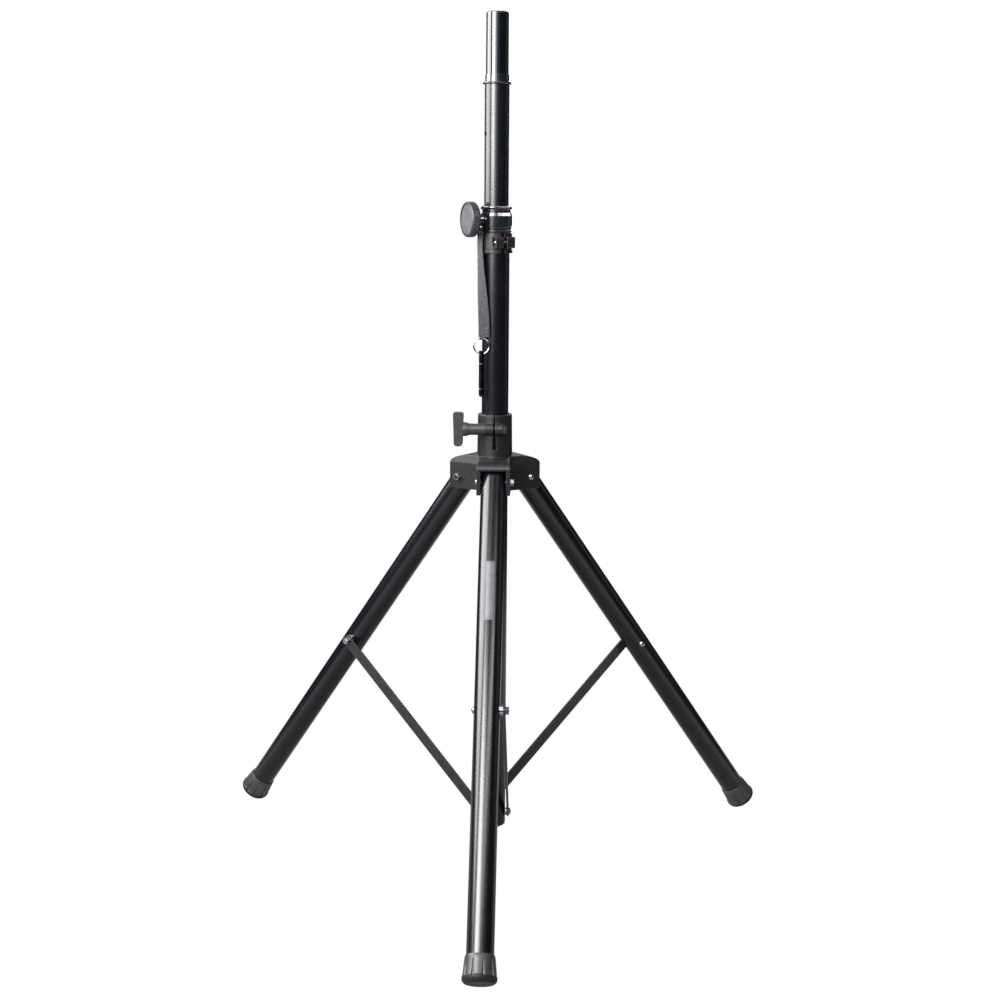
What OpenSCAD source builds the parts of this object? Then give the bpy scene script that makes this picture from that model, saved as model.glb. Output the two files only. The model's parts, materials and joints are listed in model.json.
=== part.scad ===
// Tripod stand that carries a loudspeaker on a 35 mm spigot.
// Millimetres. +Z is up along the mast, the origin is on the mast axis at floor level,
// and the front leg points along -Y.

/* [Legs] */
// Angle of each leg from the vertical, stand open
leg_angle = 36.3; // [32:0.1:38]
// Distance from a leg's pivot to the bottom of its foot
leg_len = 748; // [720:1:780]
// Outside diameter of a leg tube
leg_d = 38; // [36:0.5:40]
// Distance from the mast axis to a leg's pivot
pivot_r = 51; // [50:0.5:54]
// Distance from a leg's pivot to its brace bolt
brace_bolt_t = 365; // [350:1:370]
// Length of a brace between its two holes
brace_len = 365; // [360:1:380]

/* [Mast] */
// Outside diameter of the main tube
main_d = 41; // [40.8:0.1:41.2]
// Outside diameter of the telescoping upper tube
upper_d = 38; // [37.8:0.1:38.2]
// Outside diameter of the spigot that enters the loudspeaker
spigot_d = 35; // [34.8:0.1:35]
// Height of the plain spigot above its stop ring
spigot_h = 101; // [90:1:110]
// Length of the main tube
main_len = 964; // [950:1:970]
// Length of the upper tube
upper_len = 920; // [900:1:924]
// How far the upper tube stands out of the lock collar
upper_out = 178; // [150:1:250]

/* [Hub] */
// Height of the hub's collar above the leg pivots
collar_top_h = 99; // [96:1:104]
// Width of a leg clevis across its cheeks
clevis_w = 51; // [50:0.5:52]
// Radial reach of a clevis from the mast axis
clevis_reach = 66; // [64:0.5:68]

/* [Knobs] */
// Diameter of the round lock knob
lock_knob_d = 53; // [46:1:54]
// Direction of the lock knob, counter-clockwise from +X
lock_az = 206; // [200:1:210]
// Height of the T knob's wings
wing_h = 52; // [44:1:54]

/* [Hidden] */
$fn = 96;

// Directions of the three legs, counter-clockwise from +X
FRONT = -90;
RIGHT = 30;
LEFT = 150;
LEG_AZ = [FRONT, RIGHT, LEFT];

running_gap = 0.06;    // radial clearance of a turning or sliding fit
face_gap = 0.05;       // gap between faces that move past each other
seat_gap = 0.02;       // gap under a part that sits on a tube's end
cut = 1;               // overshoot of a cutting tool

tube_wall = 1.2;
leg_wall = 1.5;
main_r = main_d / 2;
main_bore_r = main_r - tube_wall;
upper_r = upper_d / 2;
upper_wall = 1.05;
upper_bore_r = upper_r - upper_wall;
leg_r = leg_d / 2;
leg_bore_r = leg_r - leg_wall;

// Rubber foot
foot_len = 38;
foot_r = 24.2;
foot_rim_r = leg_r + 1;
foot_round = 7;        // rounding of the sole's edge
foot_wall = 5;         // rubber under the tube's end
foot_base_h = 9;       // plain band below the flutes
flute_n = 10;
flute_r = 2.4;
flute_top_r = 0.8;

// Height of the leg pivots: the rounded sole's edge just touches the floor
pivot_z = (leg_len - foot_round) * cos(leg_angle) + (foot_r - foot_round) * sin(leg_angle) + foot_round;

// Fasteners
m6_r = 3;
m6_head_r = 5.2;
m6_head_h = 3.6;
m6_nut_r = 5.77;
m6_nut_h = 5;
m8_r = 4;
m8_nut_r = 7.5;
hex = 6;               // sides of a nut

// Hub
hub_bore_r = main_r + 1.5;
collar_top_z = pivot_z + collar_top_h;
collar_base_z = pivot_z + 36;
collar_top_r = 26.2;
collar_base_r = 27;
arm_top_z = pivot_z + 22;
roof_top_z = collar_base_z - 1.5;
arm_bottom_z = pivot_z - 18.5;
arm_chamfer = 3;
roof_lean = 2.5;       // how far each side of an arm's roof leans in
clevis_gap = leg_d + 1;
clevis_inner_r = pivot_r - leg_r - 1;
roof_under_z = pivot_z + leg_r + 0.4;
slot_top_w = 2;
slot_bottom_w = 6;
slot_bottom_z = pivot_z + 45.5;

// Clamp boss and T knob of the hub, on an axis along X in front of the mast
boss_y = -27.5;
boss_z = pivot_z + 78;
boss_r = 9.2;
boss_left_x = -14.8;
boss_right_x = 13.5;
sleeve_r = 8.8;
sleeve_left_x = -38.5;
knob_collar_left_x = -47;
knob_collar_r = 10.7;
knob_step_r = 9.6;
knob_step_w = 3;
wing_left_x = -63;
wing_t = 12;
wing_round = 3;        // upper corners of the wing
wing_foot_round = 5;   // lower corners of the wing
wing_taper = 1.2;      // how much each side of the wing draws in towards its foot
insert_r = 5.2;
insert_left_x = wing_left_x + 4;
clamp_bolt_left_x = knob_collar_left_x - 6;
knob_backlash = 5;     // free depth beyond the bolt's end inside the T knob

// Braces: flat bars on the counter-clockwise side of each leg
bar_w = 16;
bar_t = 3;
bar_y = 24.7;          // sideways distance of a bar's middle from the leg's plane
bar_in = bar_y - bar_t / 2;
bar_out = bar_y + bar_t / 2;
brace_top_r = pivot_r + brace_bolt_t * sin(leg_angle);
brace_angle = asin(brace_top_r / brace_len);
brace_top_z = pivot_z - brace_bolt_t * cos(leg_angle);
brace_low_z = brace_top_z - brace_len * cos(brace_angle);
spacer_r = 8;
low_spacer_r = 6;

// Mast stack, upward from the lower end of the main tube
main_bottom_z = brace_low_z - 17;
main_top_z = main_bottom_z + main_len;
plug_depth = 28;
plug_round = 4;
insert_hole_r = 4;
insert_in = 9;
split_bottom_z = main_top_z - 60;
split_top_z = split_bottom_z + 29.5;
split_r = 24.2;
split_lip_h = 4.5;
split_lip_r = 24.9;
split_groove_h = 1.2;
split_groove_r = 23.4;
ear_az = -62;
ear_axis_r = 24.5;
ear_w = 16;            // radial
ear_h = 17;
ear_round = 3;
ear_half_len = 15.8;
ear_recess = 4.4;      // depth of the pockets for the screw's head and nut
screw_head_r = 5.8;
ear_z = (split_bottom_z + split_top_z) / 2 + 1.5;
ear_gap = 6;
lock_bottom_z = split_top_z + 0.5;
band_bottom_z = lock_bottom_z + 10;
band_top_z = band_bottom_z + 20;
band_r = 24.9;
band_bevel_h = 4.5;
band_bevel = 1.4;
waist_r = 22.9;
neck_r = 22.4;
neck_top_z = band_top_z + 5;
lip_top_z = neck_top_z + 5.5;
lip_r = 24.2;
lip_round = 2.4;
rib_r = 23.9;
rib_h = 2.4;
liner_bore_r = upper_r + running_gap;
liner_r = main_r;
band_slit_w = 1.6;
band_slit_h = 13;
band_slit_x = 1.2;
lock_z = (band_bottom_z + band_top_z) / 2;
lock_boss_r = 8.5;
lock_boss_reach = 34;
stud_hole_r = m8_r + running_gap;

// Round lock knob
knob_rear = 35.5;
knob_face = 49.5;
knob_dish_r = lock_knob_d / 2 - 4;
knob_dish = 1.6;
knob_core = 6;         // solid depth in front of the stud's end
grip_n = 36;
grip_r = 1.2;
grip_depth = 0.45;
cap_t = 0.8;
pad_t = 3;
pad_r = 5;
pad_hole_r = pad_r + running_gap;
pad_inner = upper_r + 0.25;
stud_inner = pad_inner + pad_t;

// Upper tube and spigot
upper_top_z = lip_top_z + upper_out;
upper_bottom_z = upper_top_z - upper_len;
ring_h = 4;
ring_r = 22;
ring_sleeve_h = 10;
ring_sleeve_r = upper_bore_r + 0.6;
spigot_wall = 1.5;
spigot_depth = 80;     // part of the spigot inside the upper tube
spigot_base_z = upper_top_z + ring_h;
spigot_top_z = spigot_base_z + spigot_h;
plug_cap_h = 3;
pin_hole_r = 4.2;
pin_hole_first = 72;   // below the top of the upper tube
pin_hole_step = 120;
pin_hole_n = 6;
guide_h = 20;
end_flange_h = 3;

// Webbing strap, ring and safety pin at the left of the mast
strap_az = 208;
strap_in = 25.6;
strap_t = 2;
strap_w = 17;
strap_top_z = lock_bottom_z + 8.6;
rivet_r = 4;
rivet_h = 1.6;
rivet_shank_r = 1.5;
rivet_z = strap_top_z - 4;
fold_x = -23.6;        // fold where the hanging part of the strap swings
fold_y = -13.4;
fold_z = split_bottom_z - 8.5;
fold_r = 1.3;
fold_w = 12;
fold_az = 150;
tab_bottom_z = fold_z + 3;
strap_low_az = fold_az + 90;
strap_lean = 4.5;      // sideways lean of the hanging part
strap_tilt = 1.7;      // outward tilt of the hanging part
ring_x = -20.5;
ring_y = -21.3;
key_r = 11.85;         // middle of the wire
key_wire_r = 1.15;
key_z = pivot_z + 204.6;
key_top_z = key_z + key_r;
loop_h = 14;
loop_w = 15;
loop_bottom = fold_z - key_top_z - key_wire_r - 0.9;    // below the fold
loop_gap = 0.2;
eye_r = 3;
eye_bore_r = 1.6;
eye_w = 5;
pin_r = 3.9;
pin_eye_r = 2.3;
pin_eye_z = key_z - key_r;
pin_top_z = pin_eye_z + 4.6;
pin_len = 70;
pin_groove_r = 3.3;
pin_groove_h = 1.4;

// Label on the front leg
label_from = 139.5;
label_len = 94;
label_arc = 42;
label_t = 0.3;
label_gap = 0.02;

// ---- shared shapes -------------------------------------------------------

// A hollow cylinder from the origin up
module pipe(r, bore, h) {
    difference() {
        cylinder(r = r, h = h);
        translate([0, 0, -cut]) cylinder(r = bore, h = h + 2 * cut);
    }
}

// A cylinder along +Y that starts at the given sideways distance
module cross_rod(r, from, to) {
    translate([0, from, 0]) rotate([-90, 0, 0]) cylinder(r = r, h = to - from);
}

// A cylinder along +X between two stations
module rod_x(r, from, to) {
    translate([from, 0, 0]) rotate([0, 90, 0]) cylinder(r = r, h = to - from);
}

// Points of a rounded corner, a quarter turn from the given angle
function corner(x, y, r, from) = [for (a = [from : 22.5 : from + 90]) [x + r * cos(a), y + r * sin(a)]];

// A low domed screw head from the origin up, as a spherical cap over a short rim
module dome_head(r, h) {
    ball_r = (r * r + h * h) / (2 * h);
    intersection() {
        cylinder(r = r, h = h);
        translate([0, 0, h - ball_r]) sphere(r = ball_r);
    }
}

// Children in a leg's frame: +Z runs up the leg, +X points out, the origin is the pivot
module on_leg(az) {
    rotate([0, 0, az]) translate([pivot_r, 0, pivot_z]) rotate([0, -leg_angle, 0]) children();
}

// Children in a brace's frame: +Z runs up the bar, the origin is its lower hole
module on_brace(az) {
    rotate([0, 0, az]) translate([0, 0, brace_low_z]) rotate([0, brace_angle, 0]) children();
}

// Children in a frame whose +X points outward at the lock knob's height and direction
module on_lock() {
    rotate([0, 0, lock_az]) translate([0, 0, lock_z]) children();
}

// Children in the frame of the split collar's clamp ears: +X outward, +Y along the screw
module on_ears() {
    rotate([0, 0, ear_az]) translate([ear_axis_r, 0, ear_z]) children();
}

// Children in the frame of the strap's hanging part: the origin is its fold, -Z runs down it
module on_strap() {
    translate([fold_x, fold_y, fold_z]) rotate([0, 0, strap_low_az])
        rotate([strap_lean, -strap_tilt, 0]) children();
}

// ---- main tube and its ends ----------------------------------------------

module main_tube() {
    color("#15161a") difference() {
        translate([0, 0, main_bottom_z]) pipe(main_r, main_bore_r, main_len);
        on_lock() rod_x(pad_hole_r, main_bore_r - cut, main_r + cut);
        for (az = LEG_AZ) {
            rotate([0, 0, az]) translate([0, 0, brace_low_z]) cross_rod(insert_hole_r, insert_in, main_r + cut);
        }
    }
}

module mast_plug() {
    color("#1c1c1e") difference() {
        union() {
            translate([0, 0, main_bottom_z]) cylinder(r = main_bore_r, h = plug_depth);
            translate([0, 0, main_bottom_z]) rotate([180, 0, 0]) rotate_extrude() polygon(concat(
                [[0, 0]],
                [for (a = [0 : 15 : 90]) [main_r - plug_round + plug_round * cos(a), plug_round * sin(a)]],
                [[0, plug_round]]
            ));
        }
        for (az = LEG_AZ) {
            rotate([0, 0, az]) translate([0, 0, brace_low_z]) cross_rod(insert_hole_r, insert_in, main_r + cut);
        }
    }
}

// Threaded inserts that the three lower brace screws enter
module plug_inserts() {
    color("#b8b8b8") for (az = LEG_AZ) {
        rotate([0, 0, az]) translate([0, 0, brace_low_z]) intersection() {
            cross_rod(insert_hole_r, insert_in, main_r + cut);
            translate([0, 0, -insert_hole_r]) cylinder(r = main_r, h = 2 * insert_hole_r);
        }
    }
}

// ---- clamp at the top of the main tube -----------------------------------

// Upper collar: waist with two ribs, a plain band and a neck, and the knob's boss
module lock_collar() {
    rib_low_z = lock_bottom_z + 1.2;
    rib_high_z = rib_low_z + rib_h + 2.6;
    color("#1b1c1f") difference() {
        union() {
            translate([0, 0, lock_bottom_z]) cylinder(r = waist_r, h = band_bottom_z - lock_bottom_z);
            for (z = [rib_low_z, rib_high_z]) {
                translate([0, 0, z]) cylinder(r = rib_r, h = rib_h);
            }
            translate([0, 0, band_bottom_z]) cylinder(r = band_r, h = band_top_z - band_bottom_z - band_bevel_h);
            translate([0, 0, band_top_z - band_bevel_h])
                cylinder(r1 = band_r, r2 = band_r - band_bevel, h = band_bevel_h);
            translate([0, 0, band_top_z]) cylinder(r = neck_r, h = neck_top_z - band_top_z);
            on_lock() rod_x(lock_boss_r, 0, lock_boss_reach);
        }
        translate([0, 0, lock_bottom_z - cut]) cylinder(r = main_r, h = neck_top_z - lock_bottom_z + 2 * cut);
        on_lock() rod_x(stud_hole_r, 0, lock_boss_reach + cut);
        on_lock() rod_x(pad_hole_r, 0, stud_inner + pad_t);
        rotate([0, 0, strap_az]) translate([0, 0, rivet_z]) rod_x(rivet_shank_r, main_r - cut, rib_r + cut);
        translate([band_slit_x, -band_r - cut, band_top_z - band_slit_h])
            cube([band_slit_w, band_r - main_r, band_slit_h + cut]);
    }
}

// Plastic liner with the rounded lip that the upper tube runs in
module collar_liner() {
    liner_z = main_top_z + seat_gap;
    liner_h = lip_top_z - liner_z;
    lip_h = lip_top_z - neck_top_z;
    color("#101114") difference() {
        union() {
            translate([0, 0, liner_z]) cylinder(r = liner_r, h = liner_h - lip_h);
            translate([0, 0, neck_top_z]) rotate_extrude() polygon(concat(
                [[0, 0]],
                [for (a = [-90 : 15 : 90]) [lip_r - lip_round + lip_round * cos(a), lip_h / 2 + lip_h / 2 * sin(a)]],
                [[0, lip_h]]
            ));
        }
        translate([0, 0, liner_z - cut]) cylinder(r = liner_bore_r, h = liner_h + 2 * cut);
    }
}

// Lower collar, split at one side and drawn together by a screw through two ears. The screw's
// head lies in a round pocket and its nut in a hexagonal one
module split_collar() {
    h = split_top_z - split_bottom_z;
    wall_from = split_lip_h + split_groove_h;
    color("#222326") difference() {
        union() {
            translate([0, 0, split_bottom_z]) cylinder(r = split_lip_r, h = split_lip_h);
            translate([0, 0, split_bottom_z + split_lip_h]) cylinder(r = split_groove_r, h = split_groove_h);
            translate([0, 0, split_bottom_z + wall_from]) cylinder(r = split_r, h = h - wall_from);
            on_ears() ear_block();
        }
        translate([0, 0, split_bottom_z - cut]) cylinder(r = main_r, h = h + 2 * cut);
        rotate([0, 0, ear_az]) translate([0, -ear_gap / 2, split_bottom_z - cut])
            cube([ear_axis_r + ear_w, ear_gap, h + 2 * cut]);
        on_ears() {
            cross_rod(m6_r, -ear_half_len - cut, ear_half_len + cut);
            cross_rod(screw_head_r + 0.4, -ear_half_len - cut, ear_recess - ear_half_len);
            translate([0, ear_half_len - ear_recess, 0]) rotate([-90, 0, 0])
                cylinder(r = m6_nut_r, h = ear_recess + cut, $fn = hex);
        }
    }
}

// Both ears in one rounded bar along the screw, before the split is cut
module ear_block() {
    x = ear_w / 2 - ear_round;
    z = ear_h / 2 - ear_round;
    translate([0, ear_half_len, 0]) rotate([90, 0, 0]) linear_extrude(height = 2 * ear_half_len) polygon(concat(
        corner(x, z, ear_round, 0),
        corner(-x, z, ear_round, 90),
        corner(-x, -z, ear_round, 180),
        corner(x, -z, ear_round, 270)
    ));
}

module collar_screw() {
    color("#c8c8ca") on_ears() {
        cross_rod(m6_r, ear_recess - ear_half_len, ear_half_len - 0.4);
        translate([0, ear_recess - ear_half_len, 0]) rotate([90, 0, 0]) dome_head(screw_head_r, m6_head_h);
    }
}

module collar_nut() {
    color("#b0b0b2") on_ears() difference() {
        translate([0, ear_half_len - ear_recess, 0]) rotate([-90, 0, 0])
            cylinder(r = m6_nut_r, h = m6_nut_h - cut, $fn = hex);
        cross_rod(m6_r, 0, ear_half_len + cut);
    }
}

// Two small screws that hold the knob's boss to the band
module boss_screws() {
    screw_r = 2;
    screw_h = 1.2;
    rise = 1;          // above the knob's axis
    spread = 26;       // degrees round the band from the knob
    color("#c0c0c2") for (side = [-spread, spread]) {
        rotate([0, 0, lock_az + side]) translate([band_r, 0, lock_z + rise]) rotate([0, 90, 0])
            dome_head(screw_r, screw_h);
    }
}

// ---- webbing strap, key ring and safety pin ------------------------------

// Upper end of the strap, riveted to the lock collar
module strap_tab() {
    color("#4a4b4d") rotate([0, 0, strap_az]) difference() {
        translate([strap_in, -strap_w / 2, tab_bottom_z]) cube([strap_t, strap_w, strap_top_z - tab_bottom_z]);
        translate([0, 0, rivet_z]) rod_x(rivet_shank_r, strap_in - cut, strap_in + strap_t + cut);
    }
}

// Hanging part of the strap, with the rolled fold it swings about
module strap() {
    below = 0.5;       // the flat part starts this far under the fold's axis
    color("#4a4b4d") union() {
        on_strap() translate([-strap_t / 2, -strap_w / 2, loop_h - loop_bottom])
            cube([strap_t, strap_w, loop_bottom - loop_h - below]);
        translate([fold_x, fold_y, fold_z]) rotate([0, 0, fold_az]) rod_x(fold_r, -fold_w / 2, fold_w / 2);
    }
}

module strap_rivet() {
    color("#b5b5b7") rotate([0, 0, strap_az]) translate([0, 0, rivet_z]) union() {
        rod_x(rivet_shank_r, main_r + 0.2, strap_in + strap_t);
        translate([strap_in + strap_t, 0, 0]) rotate([0, 90, 0]) dome_head(rivet_r, rivet_h);
    }
}

// Sewn end of the strap, with the eye that the ring hangs in
module strap_loop() {
    color("#404143") difference() {
        union() {
            on_strap() translate([-strap_t, -loop_w / 2, -loop_bottom])
                cube([2 * strap_t, loop_w, loop_h - loop_gap]);
            translate([ring_x, ring_y, key_top_z]) rod_x(eye_r, -eye_w / 2, eye_w / 2);
        }
        translate([ring_x, ring_y, key_top_z]) rod_x(eye_bore_r, -eye_w, eye_w);
    }
}

module key_ring() {
    color("#d0d0d2") translate([ring_x, ring_y, key_z]) rotate([90, 0, 0]) rotate_extrude()
        translate([key_r, 0]) circle(r = key_wire_r);
}

// Steel pin with an eye for the ring and two grooves
module safety_pin() {
    tip_h = 3;
    shank_len = pin_len - tip_h;
    color("#3a3b3e") translate([ring_x, ring_y, pin_top_z - pin_len]) difference() {
        union() {
            cylinder(r1 = pin_r - 1.5, r2 = pin_r, h = tip_h);
            translate([0, 0, tip_h]) cylinder(r = pin_r, h = shank_len);
        }
        translate([0, 0, pin_len - (pin_top_z - pin_eye_z)]) rod_x(pin_eye_r, -pin_r - cut, pin_r + cut);
        for (z = [12, 50]) {
            translate([0, 0, z]) pipe(pin_r + cut, pin_groove_r, pin_groove_h);
        }
    }
}

// ---- round lock knob -----------------------------------------------------

module pressure_pad() {
    color("#5a5a5c") on_lock() rod_x(pad_r, pad_inner, stud_inner - face_gap);
}

module lock_stud() {
    color("#b9b9bb") on_lock() rod_x(m8_r, stud_inner, knob_face - knob_core);
}

// Round knob with a finely gripped rim and a dished face
module lock_knob() {
    depth = knob_face - knob_rear;
    rim_r = lock_knob_d / 2;
    color("#3c3d40") on_lock() difference() {
        translate([knob_rear, 0, 0]) rotate([0, 90, 0]) rotate_extrude() polygon([
            [m8_r, 0], [rim_r - 3, 0], [rim_r - 0.5, 2], [rim_r, 4], [rim_r, depth - 2.5],
            [rim_r - 0.8, depth - 0.8], [rim_r - 2.6, depth], [knob_dish_r + 0.8, depth],
            [knob_dish_r, depth - knob_dish - cap_t], [0, depth - knob_dish - cap_t],
            [0, depth - knob_core], [m8_r, depth - knob_core]
        ]);
        for (i = [0 : grip_n - 1]) {
            rotate([i * 360 / grip_n, 0, 0]) translate([knob_rear - cut, 0, rim_r + grip_r - grip_depth])
                rod_x(grip_r, 0, depth + 2 * cut);
        }
    }
}

module lock_knob_cap() {
    color("#77787b") on_lock() translate([knob_face - knob_dish - cap_t, 0, 0])
        rod_x(knob_dish_r - 0.1, 0, cap_t);
}

// ---- upper tube and spigot -----------------------------------------------

// Guide bush that runs in the main tube and lets the upper tube turn
module guide_bush() {
    color("#2b2b2d") translate([0, 0, upper_bottom_z - guide_h - face_gap])
        pipe(main_bore_r - running_gap, upper_bore_r - 2 + running_gap, guide_h);
}

module upper_tube() {
    color("#131417") difference() {
        translate([0, 0, upper_bottom_z]) pipe(upper_r, upper_bore_r, upper_len);
        for (i = [0 : pin_hole_n - 1]) {
            rotate([0, 0, lock_az]) translate([0, 0, upper_top_z - pin_hole_first - i * pin_hole_step])
                rod_x(pin_hole_r, -upper_r - cut, upper_r + cut);
        }
    }
}

// Plug in the lower end of the upper tube, which carries the guide bush
module tube_end_plug() {
    neck = upper_bore_r - 2;
    color("#232325") union() {
        translate([0, 0, upper_bottom_z]) cylinder(r = upper_bore_r, h = guide_h);
        translate([0, 0, upper_bottom_z - guide_h - 2 * face_gap]) cylinder(r = neck, h = guide_h + 2 * face_gap);
        translate([0, 0, upper_bottom_z - guide_h - 2 * face_gap - end_flange_h])
            cylinder(r = upper_r - 0.5, h = end_flange_h);
    }
}

// Stop ring with a bead that the loudspeaker rests on
module stop_ring() {
    color("#1a1b1e") translate([0, 0, upper_top_z + seat_gap]) difference() {
        union() {
            rotate_extrude() polygon(concat(
                [[0, 0]],
                [for (a = [-90 : 15 : 90]) [ring_r - ring_h / 2 + ring_h / 2 * cos(a), ring_h / 2 + ring_h / 2 * sin(a)]],
                [[0, ring_h]]
            ));
            translate([0, 0, ring_h]) cylinder(r = ring_sleeve_r, h = ring_sleeve_h);
        }
        translate([0, 0, -cut]) cylinder(r = upper_bore_r, h = ring_h + ring_sleeve_h + 2 * cut);
    }
}

// Spigot tube: its lower end is left wider and fills the upper tube and the stop ring
module spigot() {
    free_z = spigot_base_z + ring_sleeve_h;
    seat_z = upper_top_z - spigot_depth;
    bore_r = spigot_d / 2 - spigot_wall;
    color("#141518") union() {
        translate([0, 0, seat_z]) pipe(upper_bore_r, bore_r, free_z - seat_z);
        translate([0, 0, free_z]) pipe(spigot_d / 2, bore_r, spigot_top_z - plug_cap_h - free_z);
    }
}

module spigot_plug() {
    edge = 2.2;
    r = spigot_d / 2;
    color("#1e1f22") union() {
        translate([0, 0, spigot_top_z - plug_cap_h - 15]) cylinder(r = r - spigot_wall, h = 15);
        translate([0, 0, spigot_top_z - plug_cap_h]) rotate_extrude() polygon(concat(
            [[0, 0], [r, 0]],
            [for (a = [0 : 15 : 90]) [r - edge + edge * cos(a), plug_cap_h - edge + edge * sin(a)]],
            [[0, plug_cap_h]]
        ));
    }
}

// ---- hub -----------------------------------------------------------------

// One arm, solid: upright side faces under a roof that leans in at both sides and falls away
// outward. It overshoots the hub's underside, which is cut flat when the arms are joined
module hub_arm() {
    rise = roof_top_z - arm_top_z;
    half_w = clevis_w / 2;
    shoulder_r = collar_base_r + 0.5;
    low_z = arm_bottom_z - 2 * cut;
    intersection() {
        rotate([90, 0, 0]) linear_extrude(height = clevis_w + 2 * cut, center = true) polygon(concat(
            [[0, arm_bottom_z - cut], [clevis_reach - arm_chamfer - cut, arm_bottom_z - cut],
             [clevis_reach, arm_bottom_z + arm_chamfer]],
            [for (a = [0 : 15 : 90])
                [shoulder_r + (clevis_reach - shoulder_r) * cos(a), arm_top_z + rise * sin(a)]],
            [[0, roof_top_z]]
        ));
        rotate([90, 0, 90]) linear_extrude(height = clevis_reach + cut) polygon([
            [-half_w, low_z], [half_w, low_z], [half_w, arm_top_z],
            [half_w - roof_lean, roof_top_z + cut], [roof_lean - half_w, roof_top_z + cut],
            [-half_w, arm_top_z]
        ]);
    }
}

// Space for a leg between the cheeks of its clevis, under the roof
module leg_space() {
    translate([clevis_inner_r, -clevis_gap / 2, arm_bottom_z - cut])
        cube([clevis_reach - clevis_inner_r + cut, clevis_gap, roof_under_z - arm_bottom_z + cut]);
}

// Split in the front of the collar, wider at its lower end
module collar_slot() {
    rotate([90, 0, 0]) linear_extrude(height = collar_base_r + boss_r + 2 * cut) polygon([
        [-slot_bottom_w / 2, slot_bottom_z], [slot_bottom_w / 2, slot_bottom_z],
        [slot_top_w / 2, collar_top_z + cut], [-slot_top_w / 2, collar_top_z + cut]
    ]);
}

module hub() {
    edge = 0.8;
    bore_h = collar_top_z - arm_bottom_z + 2 * cut;
    spot_h = 8;        // depth of the flats cut beside the boss
    color("#26272a") difference() {
        union() {
            translate([0, 0, collar_base_z])
                cylinder(r1 = collar_base_r, r2 = collar_top_r, h = collar_top_z - collar_base_z - edge);
            translate([0, 0, collar_top_z - edge]) cylinder(r1 = collar_top_r, r2 = collar_top_r - edge, h = edge);
            translate([0, 0, arm_bottom_z - 2 * cut])
                cylinder(r = collar_base_r, h = collar_base_z - arm_bottom_z + 2 * cut);
            translate([0, boss_y, boss_z]) rod_x(boss_r, boss_left_x, boss_right_x);
            for (az = LEG_AZ) {
                rotate([0, 0, az]) hub_arm();
            }
        }
        translate([0, 0, arm_bottom_z - 3 * cut]) cylinder(r = clevis_reach * 1.2, h = 3 * cut);
        translate([0, 0, arm_bottom_z - cut]) cylinder(r = hub_bore_r, h = bore_h);
        collar_slot();
        translate([0, boss_y, boss_z]) rod_x(m8_r, boss_left_x - cut, boss_right_x + cut);
        translate([0, boss_y, boss_z]) rod_x(m8_nut_r + 0.5, boss_right_x, boss_right_x + spot_h);
        translate([0, boss_y, boss_z]) rod_x(sleeve_r + 0.3, boss_left_x - spot_h, boss_left_x);
        for (az = LEG_AZ) {
            rotate([0, 0, az]) {
                leg_space();
                translate([pivot_r, 0, pivot_z]) cross_rod(m6_r, -clevis_w, clevis_w);
            }
        }
    }
}

// Plastic bush that the main tube slides in, slit with the collar
module hub_bush() {
    color("#3a3a3c") difference() {
        translate([0, 0, arm_bottom_z]) pipe(hub_bore_r, main_r + running_gap, collar_top_z - arm_bottom_z - 2);
        collar_slot();
    }
}

module clamp_bolt() {
    head_h = 5;
    color("#c6c6c8") translate([0, boss_y, boss_z]) union() {
        rod_x(m8_r, clamp_bolt_left_x, boss_right_x);
        translate([boss_right_x, 0, 0]) rotate([0, 90, 0]) cylinder(r = m8_nut_r, h = head_h, $fn = hex);
    }
}

module pivot_bolts() {
    color("#c6c6c8") for (az = LEG_AZ) {
        rotate([0, 0, az]) translate([pivot_r, 0, pivot_z]) {
            cross_rod(m6_r, -clevis_w / 2, clevis_w / 2 + m6_nut_h + 1);
            translate([0, -clevis_w / 2, 0]) rotate([90, 0, 0]) dome_head(m6_head_r, m6_head_h);
        }
    }
}

module pivot_nuts() {
    color("#b8b8ba") for (az = LEG_AZ) {
        rotate([0, 0, az]) translate([pivot_r, clevis_w / 2, pivot_z]) rotate([-90, 0, 0]) difference() {
            cylinder(r = m6_nut_r, h = m6_nut_h, $fn = hex);
            translate([0, 0, -cut]) cylinder(r = m6_r, h = m6_nut_h + 2 * cut);
        }
    }
}

// ---- T knob --------------------------------------------------------------

// Spacer sleeve between the T knob and the hub's boss
module knob_sleeve() {
    color("#2a2b2e") translate([0, boss_y, boss_z]) difference() {
        rod_x(sleeve_r, sleeve_left_x, boss_left_x - face_gap);
        rod_x(m8_r + running_gap, sleeve_left_x - cut, boss_left_x + cut);
    }
}

// T knob: a stepped collar and a flat wing with rounded corners, slimmer towards its foot
module t_knob() {
    half_h = wing_h / 2;
    left = wing_left_x + wing_round;
    right = knob_collar_left_x - wing_round;
    low_left = wing_left_x + wing_taper + wing_foot_round;
    low_right = knob_collar_left_x - wing_taper - wing_foot_round;
    color("#303134") translate([0, boss_y, boss_z]) difference() {
        union() {
            rod_x(knob_collar_r, knob_collar_left_x - cut, sleeve_left_x - knob_step_w);
            rod_x(knob_step_r, sleeve_left_x - knob_step_w - cut, sleeve_left_x - face_gap);
            rotate([90, 0, 0]) linear_extrude(height = wing_t, center = true) polygon(concat(
                corner(right, half_h - wing_round, wing_round, 0),
                corner(left, half_h - wing_round, wing_round, 90),
                corner(low_left, wing_foot_round - half_h, wing_foot_round, 180),
                corner(low_right, wing_foot_round - half_h, wing_foot_round, 270)
            ));
        }
        rod_x(insert_r, insert_left_x, sleeve_left_x + cut);
    }
}

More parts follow.
